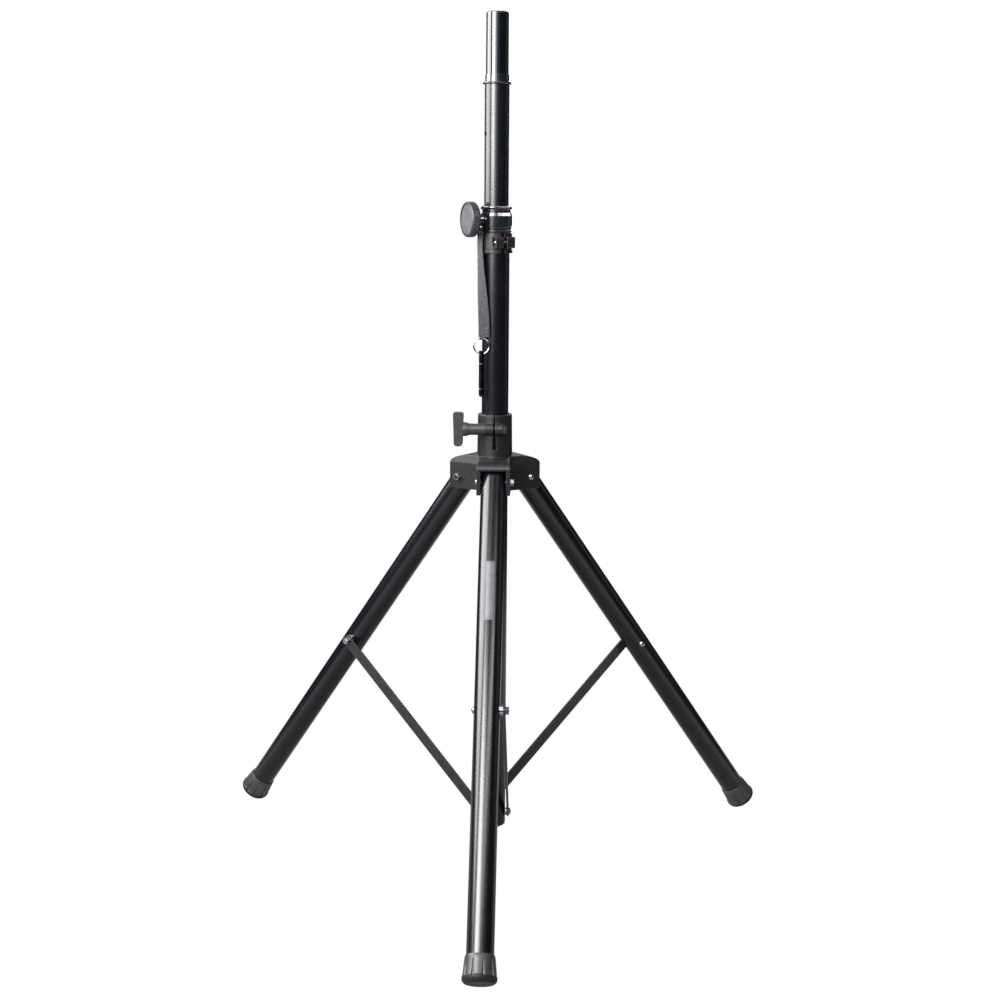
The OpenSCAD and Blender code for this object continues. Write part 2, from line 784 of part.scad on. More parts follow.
// Steel threaded insert moulded into the T knob
module t_knob_insert() {
    color("#a9a9ab") translate([0, boss_y, boss_z]) difference() {
        rod_x(insert_r, insert_left_x, sleeve_left_x - face_gap);
        rod_x(m8_r + running_gap, clamp_bolt_left_x - knob_backlash, sleeve_left_x + cut);
    }
}

// ---- legs ----------------------------------------------------------------

// Outline of a leg's rounded top: a cylinder across the leg, tangent to its sides
module leg_shape(r, below) {
    translate([0, 0, -below]) cylinder(r = r, h = below);
    intersection() {
        cylinder(r = r, h = r);
        cross_rod(r, -r, r);
    }
}

module leg_tube(az) {
    tube_end = leg_len - foot_wall;
    color("#131418") on_leg(az) difference() {
        leg_shape(leg_r, tube_end);
        translate([0, 0, -tube_end - cut]) cylinder(r = leg_bore_r, h = tube_end + leg_r + 2 * cut);
        cross_rod(m6_r + running_gap, -leg_d, leg_d);
        translate([0, 0, -brace_bolt_t]) cross_rod(m6_r, -leg_d, leg_d);
    }
}

// Plastic insert that keeps the pivot bolt from crushing the tube
module leg_insert(az) {
    color("#202124") on_leg(az) difference() {
        leg_shape(leg_bore_r, 30);
        cross_rod(m6_r + running_gap, -leg_d, leg_d);
    }
}

// Rubber foot: a flared cap with rounded sole and tapered flutes
module foot(az) {
    flute_top = leg_len - foot_len + 8;
    flute_end = leg_len - foot_base_h;
    flute_tilt = atan((foot_r - 1 - foot_rim_r) / (flute_end - flute_top));
    color("#3a3b3d") on_leg(az) difference() {
        translate([0, 0, -leg_len]) rotate_extrude() polygon(concat(
            [[0, 0]],
            [for (a = [-90 : 15 : 0]) [foot_r - foot_round + foot_round * cos(a), foot_round + foot_round * sin(a)]],
            [[foot_r, foot_base_h], [foot_r - 0.8, foot_base_h + 1.2],
             [foot_rim_r + 1, foot_len - 3.5], [foot_rim_r, foot_len], [0, foot_len]]
        ));
        translate([0, 0, -leg_len + foot_wall]) cylinder(r = leg_r, h = foot_len);
        for (i = [0 : flute_n - 1]) {
            rotate([0, 0, 14 + i * 360 / flute_n]) translate([foot_r - 0.2, 0, 1 - flute_end])
                rotate([0, -flute_tilt, 0]) {
                    cylinder(r1 = flute_r, r2 = flute_top_r, h = flute_end - flute_top);
                    sphere(r = flute_r);
                }
        }
    }
}

module brace_bolt(az) {
    color("#c6c6c8") on_leg(az) translate([0, 0, -brace_bolt_t]) {
        cross_rod(m6_r, -leg_r, bar_out + m6_nut_h + 0.6);
        translate([0, -leg_r, 0]) rotate([90, 0, 0]) dome_head(m6_head_r, m6_head_h);
    }
}

// Chrome spacer, shaped to the leg tube, that holds the bar off the leg
module brace_spacer(az) {
    color("#d2d2d4") on_leg(az) difference() {
        translate([0, 0, -brace_bolt_t]) cross_rod(spacer_r, leg_r / 2, bar_in - face_gap);
        translate([0, 0, -brace_bolt_t]) cross_rod(m6_r, 0, leg_d);
        translate([0, 0, -brace_bolt_t - leg_r]) cylinder(r = leg_r, h = leg_d);
    }
}

module brace_nut(az) {
    color("#b8b8ba") on_leg(az) translate([0, bar_out + face_gap, -brace_bolt_t]) rotate([-90, 0, 0]) difference() {
        cylinder(r = m6_nut_r, h = m6_nut_h, $fn = hex);
        translate([0, 0, -cut]) cylinder(r = m6_r, h = m6_nut_h + 2 * cut);
    }
}

// ---- braces --------------------------------------------------------------

module brace(az) {
    color("#26272a") on_brace(az) difference() {
        union() {
            translate([-bar_w / 2, bar_in, 0]) cube([bar_w, bar_t, brace_len]);
            for (z = [0, brace_len]) {
                translate([0, 0, z]) cross_rod(bar_w / 2, bar_in, bar_out);
            }
        }
        cross_rod(m6_r, 0, leg_d);
        translate([0, 0, brace_len]) cross_rod(m6_r + running_gap, 0, leg_d);
    }
}

// Lower screw with its spacer: it ends just clear of the main tube
module brace_screw(az) {
    color("#c0c0c2") on_brace(az) {
        cross_rod(low_spacer_r, main_r + 0.3, bar_in);
        cross_rod(m6_r, main_r + 0.3, bar_out);
        translate([0, bar_out, 0]) rotate([-90, 0, 0]) dome_head(m6_head_r + 1, m6_head_h);
    }
}

// ---- label ---------------------------------------------------------------

// Plain metal label, curved round the front of the front leg
module leg_label() {
    color("#9a9b9e") on_leg(FRONT) translate([0, 0, -label_from - label_len]) rotate([0, 0, -label_arc / 2])
        rotate_extrude(angle = label_arc) translate([leg_r + label_gap, 0]) square([label_t, label_len]);
}

main_tube();
mast_plug();
plug_inserts();
lock_collar();
collar_liner();
split_collar();
collar_screw();
collar_nut();
boss_screws();
strap_rivet();
strap_tab();
strap();
strap_loop();
key_ring();
safety_pin();
pressure_pad();
lock_stud();
lock_knob();
lock_knob_cap();
guide_bush();
upper_tube();
tube_end_plug();
stop_ring();
spigot();
spigot_plug();
hub();
hub_bush();
clamp_bolt();
pivot_bolts();
pivot_nuts();
knob_sleeve();
t_knob();
t_knob_insert();
leg_tube(FRONT);  // leg_tube_front
leg_insert(FRONT);  // leg_insert_front
foot(FRONT);  // foot_front
brace_bolt(FRONT);  // brace_bolt_front
brace_nut(FRONT);  // brace_nut_front
brace_spacer(FRONT);  // brace_spacer_front
brace(FRONT);  // brace_front
brace_screw(FRONT);  // brace_screw_front
leg_tube(RIGHT);  // leg_tube_right
leg_insert(RIGHT);  // leg_insert_right
foot(RIGHT);  // foot_right
brace_bolt(RIGHT);  // brace_bolt_right
brace_nut(RIGHT);  // brace_nut_right
brace_spacer(RIGHT);  // brace_spacer_right
brace(RIGHT);  // brace_right
brace_screw(RIGHT);  // brace_screw_right
leg_tube(LEFT);  // leg_tube_left
leg_insert(LEFT);  // leg_insert_left
foot(LEFT);  // foot_left
brace_bolt(LEFT);  // brace_bolt_left
brace_nut(LEFT);  // brace_nut_left
brace_spacer(LEFT);  // brace_spacer_left
brace(LEFT);  // brace_left
brace_screw(LEFT);  // brace_screw_left
leg_label();
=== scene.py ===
"""Looks of a black tripod stand for a loudspeaker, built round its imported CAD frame.

Metres, +Z up, origin on the mast axis at floor level, front leg towards -Y.
"""
import json
import math

import bmesh
import bpy
from mathutils import Matrix, Vector


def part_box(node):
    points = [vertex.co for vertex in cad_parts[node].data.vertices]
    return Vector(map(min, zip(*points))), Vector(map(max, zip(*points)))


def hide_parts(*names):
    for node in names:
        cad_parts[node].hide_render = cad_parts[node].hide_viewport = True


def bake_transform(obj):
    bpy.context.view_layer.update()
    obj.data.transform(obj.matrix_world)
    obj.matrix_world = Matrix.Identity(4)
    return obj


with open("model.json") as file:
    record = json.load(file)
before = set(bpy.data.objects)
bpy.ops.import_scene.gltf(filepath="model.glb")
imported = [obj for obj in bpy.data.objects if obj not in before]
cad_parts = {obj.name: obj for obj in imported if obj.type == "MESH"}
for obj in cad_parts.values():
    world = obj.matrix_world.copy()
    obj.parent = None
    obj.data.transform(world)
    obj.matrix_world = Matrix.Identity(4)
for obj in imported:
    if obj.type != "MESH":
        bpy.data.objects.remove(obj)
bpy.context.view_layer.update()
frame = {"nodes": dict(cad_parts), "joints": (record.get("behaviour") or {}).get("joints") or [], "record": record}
NODES = frame["nodes"]
MM = 0.001
LEG_TILT = math.radians(36.3)
SOLE_BAND = 9.5 * MM           # height of the plain band at the bottom of a foot
STRAP_W = 17.5 * MM
STRAP_T = 1.5 * MM
STRAP_HEM = 14 * MM            # length of the doubled end
STRAP_ASIDE = 4 * MM           # the strap's end hangs this far right of the ring's middle
STRAP_TOP_AZ = 208             # azimuth the strap faces at the top, counter-clockwise from +X
STRAP_TWIST = 54               # degrees it turns on its way down
STRAP_FLAT = 0.18              # share of its length that lies against the collars
KEEPER_W = 6 * MM
FLOOR_HALF = 14.0

# ---- camera and studio ------------------------------------------------------

CAMERA_DISTANCE = 2.62924      # from the mast axis
CAMERA_HEIGHT = 1.04321
CAMERA_TURN = 1.82             # degrees round the mast from straight ahead
CAMERA_YAW = -0.19
CAMERA_PITCH = 10.03
CAMERA_ROLL = 0.42
LENS = 61.859                  # millimetres on a 36 mm sensor
LIGHT_DISTANCE = 2.2           # of most softboxes from the mast axis
KEY_BOTTOM = 1.03              # low edge of the key lights; the main tube below it stays dark
COOL = (0.84, 0.92, 1.0)
COLD = (0.70, 0.84, 1.0)
FAINT_COOL = (0.94, 0.97, 1.0)


def turned(angle_deg, axis):
    return Matrix.Rotation(math.radians(angle_deg), 4, axis)


def add_camera():
    data = bpy.data.cameras.new("camera")
    data.lens = LENS
    data.sensor_width = 36.0
    data.clip_end = 60.0
    camera = bpy.data.objects.new("camera", data)
    bpy.context.scene.collection.objects.link(camera)
    stand = turned(CAMERA_TURN, "Z") @ Matrix.Translation((0, -CAMERA_DISTANCE, CAMERA_HEIGHT))
    aim = turned(CAMERA_YAW, "Z") @ turned(-CAMERA_PITCH, "X") @ turned(-CAMERA_ROLL, "Y")
    camera.matrix_world = stand @ aim @ turned(90, "X")
    bpy.context.scene.camera = camera


def softbox(name, azimuth, low, high, width, radiance, colour=(1.0, 1.0, 1.0), distance=LIGHT_DISTANCE):
    """A tall panel light round the mast: azimuth 0 is the camera's side, negative is to its left."""
    data = bpy.data.lights.new(name, "AREA")
    data.shape = "RECTANGLE"
    data.size = width
    data.size_y = high - low
    data.energy = radiance * math.pi * width * (high - low)
    data.color = colour
    light = bpy.data.objects.new(name, data)
    bpy.context.scene.collection.objects.link(light)
    a = math.radians(azimuth + CAMERA_TURN)
    out = Vector((math.sin(a), -math.cos(a), 0.0))
    light.location = out * distance + Vector((0, 0, (low + high) / 2))
    light.rotation_mode = "QUATERNION"
    light.rotation_quaternion = out.to_track_quat("Z", "Y")
    light.visible_camera = False
    return light


def shine_only_on(light, *names):
    """The light reaches these pieces and nothing else."""
    pieces = bpy.data.collections.new(light.name + "_pieces")
    for name in names:
        pieces.objects.link(NODES[name])
    light.light_linking.receiver_collection = pieces


def add_studio():
    softbox("key_front", -36, KEY_BOTTOM, 2.9, width=1.15, radiance=24.0)
    softbox("key_side", -89, 0.98, 3.4, width=1.8, radiance=12.0)
    softbox("key_fade", -12, KEY_BOTTOM, 4.4, width=0.65, radiance=4.6, colour=COOL)
    softbox("key_tail", 8, KEY_BOTTOM, 4.0, width=0.7, radiance=0.6, colour=COLD)
    softbox("high_right", 32, 2.35, 2.85, width=2.7, radiance=11.0)
    softbox("fill_right", 105, 0.4, 2.2, width=1.2, radiance=0.25, colour=COOL, distance=2.6)
    softbox("back_right", 162, 0.9, 2.6, width=0.8, radiance=3.0, colour=FAINT_COOL, distance=2.3)
    softbox("back_left", 204, 0.9, 2.6, width=0.8, radiance=3.0, colour=FAINT_COOL, distance=2.3)
    softbox("high_back", 172, 1.6, 2.6, width=1.8, radiance=2.5, distance=2.4)
    clamp_glint = softbox("clamp_glint", 84, 1.65, 2.6, width=3.4, radiance=11.0)
    shine_only_on(clamp_glint, "lock_collar", "collar_liner")
    top = softbox("top", 0, 3.0, 4.6, width=1.6, radiance=2.2)
    top.location = (-0.3, -0.4, 3.2)
    top.rotation_quaternion = Vector((0, 0, 1)).to_track_quat("Z", "Y")


def add_world():
    """White to the camera, dim and slightly blue to reflections and bounced light."""
    world = bpy.data.worlds.new("studio")
    bpy.context.scene.world = world
    world.use_nodes = True
    tree = world.node_tree
    tree.nodes.clear()
    path = add(tree, "LightPath")
    bounced = (0.05, 0.052, 0.056, 1)
    reflected = (0.014, 0.016, 0.021, 1)
    around = mixed(tree, path.outputs["Is Glossy Ray"], bounced, reflected)
    seen = mixed(tree, path.outputs["Is Camera Ray"], around, (1, 1, 1, 1))
    background = add(tree, "Background", Color=seen)
    out = add(tree, "OutputWorld")
    tree.links.new(background.outputs[0], out.inputs[0])


def add_floor():
    """Pale floor that fades into the white background.

    The camera sees through its white share, so folded legs that reach below it stay visible;
    bounced light sees it white, and reflections see a lit ring of it.
    """
    mesh = bpy.data.meshes.new("floor")
    corners = [(x * FLOOR_HALF, y * FLOOR_HALF, 0) for x, y in ((-1, -1), (1, -1), (1, 1), (-1, 1))]
    mesh.from_pydata(corners, [], [(0, 1, 2, 3)])
    floor = bpy.data.objects.new("floor", mesh)
    bpy.context.scene.collection.objects.link(floor)
    material = bpy.data.materials.new("floor")
    material.use_nodes = True
    tree = material.node_tree
    tree.nodes.clear()
    path = add(tree, "LightPath")
    glow = add(tree, "Emission", Color=(1, 1, 1, 1), Strength=1.0)
    clear = add(tree, "BsdfTransparent")
    white = shaders_mixed(tree, path.outputs["Is Camera Ray"], glow, clear)
    matte = add(tree, "BsdfDiffuse", Color=(0.82, 0.82, 0.82, 1))
    away = add(tree, "VectorMath", {"operation": "LENGTH"}, Vector=object_point(tree)).outputs["Value"]
    pale = shaders_mixed(tree, ranged(tree, away, 0.7, 2.2, 0.98, 1.0), matte, white)
    rise = ranged(tree, away, 0.3, 1.0, 0.30, 0.85)
    fall = ranged(tree, away, 1.3, 2.3, 1.0, 0.03)
    lit = math_node(tree, "MULTIPLY", rise, fall)
    mirrored = add(tree, "Emission", Color=(1, 1, 1, 1), Strength=lit)
    shown = shaders_mixed(tree, path.outputs["Is Glossy Ray"], pale, mirrored)
    out = add(tree, "OutputMaterial")
    tree.links.new(shown.outputs[0], out.inputs[0])
    mesh.materials.append(material)


# ---- node helpers -----------------------------------------------------------

def plug(tree, made, name, value):
    """Link a socket, or set a plain value."""
    socket = made.inputs[name]
    if isinstance(value, bpy.types.NodeSocket):
        tree.links.new(value, socket)
    else:
        socket.default_value = value


def add(tree, kind, settings=None, **inputs):
    """A new shader node; an input's name is written with _ for each space."""
    made = tree.nodes.new("ShaderNode" + kind)
    for key, value in (settings or {}).items():
        setattr(made, key, value)
    for key, value in inputs.items():
        plug(tree, made, key.replace("_", " "), value)
    return made


def object_point(tree):
    return add(tree, "TexCoord").outputs["Object"]


def mixed(tree, share, first, second):
    """Colour between first and second."""
    mix = add(tree, "Mix", {"data_type": "RGBA"})
    plug(tree, mix, 0, share)
    plug(tree, mix, 6, first)
    plug(tree, mix, 7, second)
    return mix.outputs[2]


def shaders_mixed(tree, share, first, second):
    """The node that mixes two shader nodes."""
    mix = add(tree, "MixShader", Fac=share)
    tree.links.new(first.outputs[0], mix.inputs[1])
    tree.links.new(second.outputs[0], mix.inputs[2])
    return mix


def ranged(tree, value, low, high, to_low, to_high):
    """A value mapped from one range to another, clamped."""
    ends = {"From_Min": low, "From_Max": high, "To_Min": to_low, "To_Max": to_high}
    return add(tree, "MapRange", None, Value=value, **ends).outputs["Result"]


def math_node(tree, operation, a, b=0.0):
    made = add(tree, "Math", {"operation": operation})
    plug(tree, made, 0, a)
    plug(tree, made, 1, b)
    return made.outputs[0]


def near(tree, value, target, within):
    """1 where the value is within a distance of the target."""
    compare = add(tree, "Math", {"operation": "COMPARE"})
    for socket, amount in enumerate((value, target, within)):
        plug(tree, compare, socket, amount)
    return compare.outputs[0]


def noise(tree, scale, detail=2.0, rough=0.5, stretch=None):
    """Noise at a scale per metre, over the piece's own coordinates."""
    point = object_point(tree)
    if stretch:
        point = add(tree, "Mapping", None, Vector=point, Scale=stretch).outputs[0]
    texture = add(tree, "TexNoise", None, Vector=point, Scale=scale, Detail=detail, Roughness=rough)
    return texture.outputs["Fac"]


def bumped(tree, height, depth, normal=None):
    """A normal raised by height, where 1 stands depth metres proud."""
    bump = add(tree, "Bump", None, Height=height, Distance=depth, Strength=1.0)
    if normal is not None:
        plug(tree, bump, "Normal", normal)
    return bump.outputs[0]


def rounded_edges(tree, radius):
    """(normal with softened edges, mask that is 1 along them)."""
    bevel = add(tree, "Bevel", {"samples": 4}, Radius=radius)
    sharp = add(tree, "NewGeometry")
    dot = add(tree, "VectorMath", {"operation": "DOT_PRODUCT"})
    tree.links.new(bevel.outputs[0], dot.inputs[0])
    tree.links.new(sharp.outputs["Normal"], dot.inputs[1])
    return bevel.outputs[0], ranged(tree, dot.outputs["Value"], 0.995, 0.90, 0.0, 1.0)


def hard_finish(name, dark, light, rough, grain, depth, edge=0.0004, edge_tint=None, metallic=0.0, coat=0.0,
                coat_rough=0.08, mottle=60.0, specular=0.5):
    """A hard surface: mottled colour, uneven gloss, fine grain and softened, slightly worn edges.

    dark and light are the two ends of its colour, rough the two ends of its roughness,
    grain the texture's scale per metre and depth its height.
    """
    material = bpy.data.materials.new(name)
    material.use_nodes = True
    tree = material.node_tree
    surface = tree.nodes["Principled BSDF"]
    normal, worn = rounded_edges(tree, edge) if edge else (None, 0.0)
    blotch = ranged(tree, noise(tree, mottle, 4.0, 0.6), 0.35, 0.65, 0.0, 1.0)
    colour = mixed(tree, blotch, (*dark, 1), (*light, 1))
    if edge_tint:
        speckle = ranged(tree, noise(tree, 900.0, 3.0), 0.4, 0.6, 0.25, 0.9)
        speckled = math_node(tree, "MULTIPLY", worn, speckle)
        colour = mixed(tree, speckled, colour, (*edge_tint, 1))
    plug(tree, surface, "Base Color", colour)
    smudge = noise(tree, 25.0, 5.0, 0.65)
    plug(tree, surface, "Roughness", ranged(tree, smudge, 0.3, 0.7, *rough))
    plug(tree, surface, "Normal", bumped(tree, noise(tree, grain, 3.0), depth, normal))
    plug(tree, surface, "Metallic", metallic)
    plug(tree, surface, "Coat Weight", coat)
    plug(tree, surface, "Coat Roughness", coat_rough)
    plug(tree, surface, "Specular IOR Level", specular)
    return material


# ---- materials --------------------------------------------------------------

def tube_paint():
    """Gloss black powder coat: a faint orange peel under a clear shine."""
    return hard_finish("tube_paint", dark=(0.0016, 0.0019, 0.0026), light=(0.0026, 0.0030, 0.0039),
                       rough=(0.21, 0.25), grain=420.0, depth=0.0000008, edge=0.0, coat=0.12, coat_rough=0.18)


def spigot_paint():
    """The same paint, worn smoother where the loudspeaker slides on."""
    return hard_finish("spigot_paint", dark=(0.0014, 0.0017, 0.0025), light=(0.0024, 0.0028, 0.0038),
                       rough=(0.12, 0.16), grain=420.0, depth=0.0000005, edge=0.0, coat=0.4)


def moulded_matte():
    """Glass-filled nylon of the hub: dark grey with a fine spark-eroded grain."""
    return hard_finish("moulded_matte", dark=(0.0045, 0.0048, 0.0053), light=(0.0075, 0.0079, 0.0086),
                       rough=(0.34, 0.44), grain=1900.0, depth=0.000008,
                       edge=0.0014, edge_tint=(0.05, 0.051, 0.055), specular=0.40)


def moulded_gloss():
    """Polished black moulding of the lock collar."""
    return hard_finish("moulded_gloss", dark=(0.004, 0.0043, 0.005), light=(0.007, 0.0074, 0.0082),
                       rough=(0.10, 0.17), grain=700.0, depth=0.0000015,
                       edge=0.0007, edge_tint=(0.05, 0.05, 0.055), coat=0.9, coat_rough=0.05)


def knob_plastic():
    """Grippy textured plastic of the knobs."""
    return hard_finish("knob_plastic", dark=(0.012, 0.0124, 0.0132), light=(0.019, 0.0195, 0.0205),
                       rough=(0.34, 0.44), grain=2400.0, depth=0.000015,
                       edge=0.0007, edge_tint=(0.06, 0.06, 0.063))


def knob_face():
    """The disc in the round knob: the knob's own plastic, painted paler as painted light where the face turns to
    the key light.
    """
    # Painted light: colours paler than knob_plastic's, standing in for the face lit by the key light.
    return hard_finish("knob_face", dark=(0.042, 0.043, 0.045), light=(0.062, 0.063, 0.066),
                       rough=(0.38, 0.50), grain=1500.0, depth=0.000004)


def inner_plastic():
    """Plain black bushes and plugs."""
    return hard_finish("inner_plastic", dark=(0.012, 0.012, 0.013), light=(0.02, 0.02, 0.021),
                       rough=(0.35, 0.5), grain=1200.0, depth=0.00001)


def plated(name, dark, light, rough):
    """Plated steel with fine scratches."""
    return hard_finish(name, dark, light, rough, grain=1600.0, depth=0.000003, edge=0.0003, metallic=1.0,
                       mottle=140.0)


def bar_paint():
    """Satin black of the brace bars, rubbed paler along the edges."""
    return hard_finish("bar_paint", dark=(0.008, 0.0085, 0.0095), light=(0.014, 0.0145, 0.016),
                       rough=(0.28, 0.40), grain=800.0, depth=0.000004,
                       edge=0.0005, edge_tint=(0.12, 0.12, 0.13))


def rubber():
    """Dark rubber skirt with a soft bloom."""
    return hard_finish("rubber", dark=(0.020, 0.0203, 0.0212), light=(0.032, 0.0325, 0.0338),
                       rough=(0.32, 0.44), grain=2200.0, depth=0.00001,
                       edge=0.0009, edge_tint=(0.09, 0.09, 0.093))


def rubber_sole():
    """The blacker band that meets the floor, scuffed paler at the very bottom."""
    scuff_h = 7 * MM
    material = hard_finish("rubber_sole", dark=(0.008, 0.0082, 0.0086), light=(0.014, 0.0143, 0.015),
                           rough=(0.44, 0.58), grain=2200.0, depth=0.00001,
                           edge=0.0008, edge_tint=(0.03, 0.03, 0.031), specular=0.2)
    tree = material.node_tree
    surface = tree.nodes["Principled BSDF"]
    clean = surface.inputs["Base Color"].links[0].from_socket
    height = add(tree, "SeparateXYZ", None, Vector=object_point(tree)).outputs["Z"]
    low = ranged(tree, height, 0.0, scuff_h, 0.7, 0.0)
    patches = ranged(tree, noise(tree, 260.0, 4.0), 0.4, 0.62, 0.0, 1.0)
    dust = math_node(tree, "MULTIPLY", low, patches)
    plug(tree, surface, "Base Color", mixed(tree, dust, clean, (0.075, 0.075, 0.076, 1)))
    return material


def label_film():
    """Brushed silver label with a thin dark line set in from its edge."""
    material = hard_finish("label_film", dark=(0.085, 0.087, 0.091), light=(0.115, 0.117, 0.121),
                           rough=(0.36, 0.48), grain=900.0, depth=0.000003, metallic=0.5)
    tree = material.node_tree
    surface = tree.nodes["Principled BSDF"]
    film = surface.inputs["Base Color"].links[0].from_socket
    low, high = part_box("leg_label")
    from_middle = add(tree, "VectorMath", {"operation": "SUBTRACT"})
    plug(tree, from_middle, 0, object_point(tree))
    plug(tree, from_middle, 1, (low + high) / 2)
    parts = add(tree, "SeparateXYZ", None, Vector=from_middle.outputs[0])
    half_w = (high.x - low.x) / 2
    half_h = (high.z - low.z) / 2
    aside = math_node(tree, "DIVIDE", math_node(tree, "ABSOLUTE", parts.outputs["X"]), half_w)
    along = math_node(tree, "DIVIDE", math_node(tree, "ABSOLUTE", parts.outputs["Z"]), half_h)
    frame_lines = math_node(tree, "MAXIMUM", near(tree, aside, 0.86, 0.05), near(tree, along, 0.965, 0.008))
    inside_w = math_node(tree, "LESS_THAN", aside, 0.91)
    inside_h = math_node(tree, "LESS_THAN", along, 0.973)
    line = math_node(tree, "MULTIPLY", math_node(tree, "MULTIPLY", inside_w, inside_h), frame_lines)
    plug(tree, surface, "Base Color", mixed(tree, line, film, (0.04, 0.04, 0.042, 1)))
    return material


def webbing_cloth():
    """Woven polyester: grey and near-black yarns heathered together."""
    material = bpy.data.materials.new("webbing_cloth")
    material.use_nodes = True
    tree = material.node_tree
    surface = tree.nodes["Principled BSDF"]
    yarn = noise(tree, 1150.0, 2.0, 0.5, stretch=(1.0, 1.0, 0.55))
    soft = noise(tree, 180.0, 3.0)
    dark_yarn = (0.003, 0.0032, 0.0035, 1)
    grey_yarn = (0.066, 0.068, 0.071, 1)
    between = (0.014, 0.0143, 0.015, 1)
    yarns = mixed(tree, ranged(tree, yarn, 0.42, 0.60, 0.0, 1.0), dark_yarn, grey_yarn)
    worn = ranged(tree, soft, 0.3, 0.7, 0.0, 0.30)
    plug(tree, surface, "Base Color", mixed(tree, worn, yarns, between))
    plug(tree, surface, "Roughness", 0.85)
    plug(tree, surface, "Sheen Weight", 0.12)
    plug(tree, surface, "Specular IOR Level", 0.25)
    plug(tree, surface, "Normal", bumped(tree, yarn, 0.00004))
    return material


def materials():
    chrome = plated("chrome_steel", (0.36, 0.36, 0.38), (0.48, 0.48, 0.50), (0.12, 0.24))
    return {
        "black_tube": tube_paint(),
        "black_spigot": spigot_paint(),
        "moulded_hub": moulded_matte(),
        "moulded_gloss": moulded_gloss(),
        "knob_plastic": knob_plastic(),
        "knob_face": knob_face(),
        "inner_plastic": inner_plastic(),
        "zinc_steel": plated("zinc_steel", (0.30, 0.30, 0.31), (0.42, 0.42, 0.43), (0.24, 0.36)),
        "chrome_steel": chrome,
        "dark_steel": plated("dark_steel", (0.018, 0.018, 0.020), (0.032, 0.032, 0.035), (0.16, 0.28)),
        "black_bar": bar_paint(),
        "rubber": rubber(),
        "webbing": webbing_cloth(),
        "label_film": label_film(),
    }


def paint_nodes(finishes):
    """Every CAD node takes the finish of its material slot."""
    for sub in frame["record"]["subparts"]:
        finish = finishes.get(sub["material_slot"])
        if finish is None:
            continue
        mesh = NODES[sub["node"]].data
        mesh.materials.clear()
        mesh.materials.append(finish)


def joint_point(name):
    """Where a hinge's axis passes, in the shared frame."""
    for joint in frame["joints"]:
        if joint["name"] == name:
            return Vector(joint["pos_m"])
    raise KeyError(name)


def paint_faces(node, finish, chosen):
    """The faces of a node whose middle the test accepts take another finish."""
    mesh = NODES[node].data
    mesh.materials.append(finish)
    index = len(mesh.materials) - 1
    for face in mesh.polygons:
        if chosen(face.center):
            face.material_index = index


def paint_details(finishes):
    """Bright grooves on the safety pin, and painted shade on the clamp bolt: its shank, down in the collar's slot,
    takes the dark steel.
    """
    low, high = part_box("safety_pin")
    pin = (low + high) / 2
    groove_r = 3.5 * MM
    lowest = low.z + 6 * MM
    highest = high.z - 12 * MM

    def in_groove(point):
        return math.hypot(point.x - pin.x, point.y - pin.y) < groove_r and lowest < point.z < highest

    paint_faces("safety_pin", finishes["chrome_steel"], in_groove)
    # Painted shade: the bolt's shank, which sits in the shade of the collar's slot, is painted dark steel; its
    # head keeps the bolt's own finish.
    bolt = joint_point("clamp_turn")
    shank_r = 4.2 * MM
    head_x = 13 * MM

    def on_shaded_shank(point):
        return math.hypot(point.y - bolt.y, point.z - bolt.z) < shank_r and point.x < head_x

    paint_faces("clamp_bolt", finishes["dark_steel"], on_shaded_shank)


def paint_soles():
    """The band at the bottom of each foot, square to its leg, takes the blacker rubber."""
    sole = rubber_sole()
    for side in ("front", "right", "left"):
        pivot = joint_point("leg_fold_" + side)
        mesh = NODES["foot_" + side].data
        out = Vector((pivot.x, pivot.y, 0)).normalized()
        down_leg = out * math.sin(LEG_TILT) - Vector((0, 0, math.cos(LEG_TILT)))
        reach = [down_leg.dot(vertex.co - pivot) for vertex in mesh.vertices]
        band_top = max(reach) - SOLE_BAND
        paint_faces("foot_" + side, sole, lambda point: down_leg.dot(point - pivot) > band_top)


# ---- webbing strap ----------------------------------------------------------

def facing(azimuth):
    """The level direction at an azimuth counter-clockwise from +X."""
    a = math.radians(azimuth)
    return Vector((math.cos(a), math.sin(a), 0))


def eased(share):
    """A share from 0 to 1 with a soft start and a soft end."""
    share = min(1.0, max(0.0, share))
    return share * share * (3 - 2 * share)


def strap_route():
    """Stations of the strap from its top end down to its hem, as (middle, outward normal, half thickness).

    It lies against the collars at the top and has turned to face forward where the ring hangs.
    """
    low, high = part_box("strap_tab")
    top = Vector(((low.x + high.x) / 2, (low.y + high.y) / 2, high.z - 0.2 * MM))
    ring = joint_point("ring_swing")
    end = Vector((ring.x + STRAP_ASIDE, ring.y - 0.2 * MM, ring.z + 1.7 * MM))
    steps = int((top.z - end.z) / (0.45 * MM))
    stations = []
    for i in range(steps + 1):
        s = i / steps
        hang = eased((s - STRAP_FLAT) / (1 - STRAP_FLAT))
        aim = facing(STRAP_TOP_AZ + STRAP_TWIST * hang)
        middle = top.lerp(end, hang)
        middle.z = top.z + (end.z - top.z) * s
        middle += aim * (0.4 * MM * math.sin(9 * s + 0.6) * (1 - hang))
        above_end = (1 - s) * (top.z - end.z)
        doubled = 1 + 0.9 * eased((STRAP_HEM - above_end) / (1.2 * MM))
        stations.append((middle, aim, STRAP_T / 2 * doubled))
    return stations


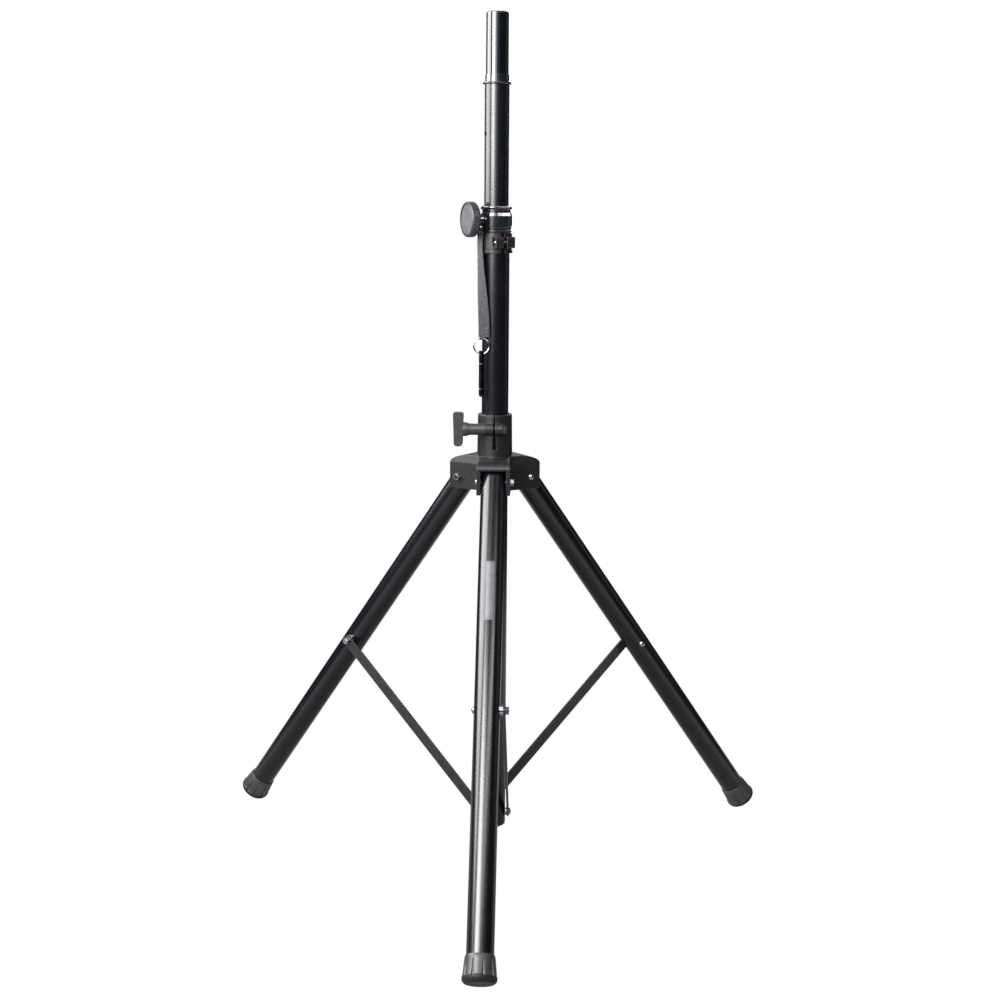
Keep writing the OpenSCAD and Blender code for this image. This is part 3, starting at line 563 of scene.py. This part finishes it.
def woven_band(mesh, stations, width, closed=False):
    """A band of webbing swept along its stations: fine ribs, a weave across them and a rolled edge."""
    across = 40
    rib_lift = 0.06 * MM
    edge_lift = 0.14 * MM
    rings = []
    last = len(stations) - 1
    for k, (middle, aim, half_t) in enumerate(stations):
        before = stations[max(k - 1, 0)][0]
        after = stations[min(k + 1, last)][0]
        if closed and k in (0, last):
            before, after = stations[last - 1][0], stations[1][0]
        side = (after - before).normalized().cross(aim).normalized()
        ring = []
        for face in (1, -1):
            for i in range(across + 1):
                u = (2 * i / across - 1) * face
                rib = rib_lift if (i + k // 2) % 2 else -rib_lift
                rolled = edge_lift if 0.86 < abs(u) < 0.97 else 0.0
                lift = half_t * math.sqrt(max(0.0, 1 - abs(u) ** 14)) + rib * (1 - u ** 8) + rolled
                if i in (0, across):
                    lift = 0.05 * MM
                ring.append(mesh.verts.new(middle + side * (u * width / 2) + aim * (face * lift)))
        rings.append(ring)
    count = len(rings[0])
    for first, second in zip(rings, rings[1:]):
        for i in range(count):
            n = (i + 1) % count
            mesh.faces.new((first[i], first[n], second[n], second[i]))
    mesh.faces.new(rings[0])
    mesh.faces.new(list(reversed(rings[-1])))


def add_stitch(mesh, middle, aim, along):
    """One thread of a seam, proud of the cloth."""
    side = along.cross(aim)
    turn = Matrix((along, side, aim)).transposed().to_4x4()
    size = Matrix.Diagonal((1.1 * MM, 0.32 * MM, 0.28 * MM, 1.0))
    bmesh.ops.create_uvsphere(mesh, u_segments=8, v_segments=6, radius=1.0,
                              matrix=Matrix.Translation(middle) @ turn @ size)


def stitch_hem(mesh, stations):
    """A sewn box round the doubled end, on both faces."""
    end, aim, half_t = stations[-1]
    down = Vector((0, 0, -1))
    across = down.cross(aim).normalized()
    reach = STRAP_W / 2 - 2.2 * MM
    rows = (1.6 * MM, STRAP_HEM - 1.8 * MM)
    for face in (1, -1):
        proud = aim * (face * (half_t + 0.10 * MM))
        for rise in rows:
            for i in range(-2, 3):
                spot = end - down * rise + across * (reach * i / 2.4) + proud
                add_stitch(mesh, spot, aim * face, across)
        for aside in (-reach, reach):
            for i in range(4):
                rise = rows[0] + (rows[1] - rows[0]) * (i + 0.5) / 4
                add_stitch(mesh, end - down * rise + across * aside + proud, aim * face, down)


def ring_keeper(ring):
    """Stations of the narrow loop that holds the ring under the hem."""
    bend = 2.3 * MM
    turns = 28
    stations = []
    for i in range(turns + 1):
        a = 2 * math.pi * i / turns
        way = Vector((0, math.sin(a), math.cos(a)))
        stations.append((ring + way * bend + Vector((0, 0, 0.1 * MM)), way, 0.45 * MM))
    return stations


def add_strap(cloth):
    """The strap, its sewn hem and the keeper of the ring, as woven cloth."""
    mesh = bmesh.new()
    stations = strap_route()
    woven_band(mesh, stations, STRAP_W)
    stitch_hem(mesh, stations)
    woven_band(mesh, ring_keeper(joint_point("ring_swing")), KEEPER_W, closed=True)
    bmesh.ops.recalc_face_normals(mesh, faces=mesh.faces)
    data = bpy.data.meshes.new("strap_webbing")
    mesh.to_mesh(data)
    mesh.free()
    for face in data.polygons:
        face.use_smooth = True
    data.materials.append(cloth)
    strap = bpy.data.objects.new("strap_webbing", data)
    bpy.context.scene.collection.objects.link(strap)
    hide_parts("strap_tab", "strap", "strap_loop")
    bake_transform(strap)


finishes = materials()
add_camera()
add_world()
add_studio()
add_floor()
paint_nodes(finishes)
paint_soles()
paint_details(finishes)
add_strap(finishes["webbing"])
bpy.context.scene.view_settings.view_transform = "Standard"

bpy.context.view_layer.update()
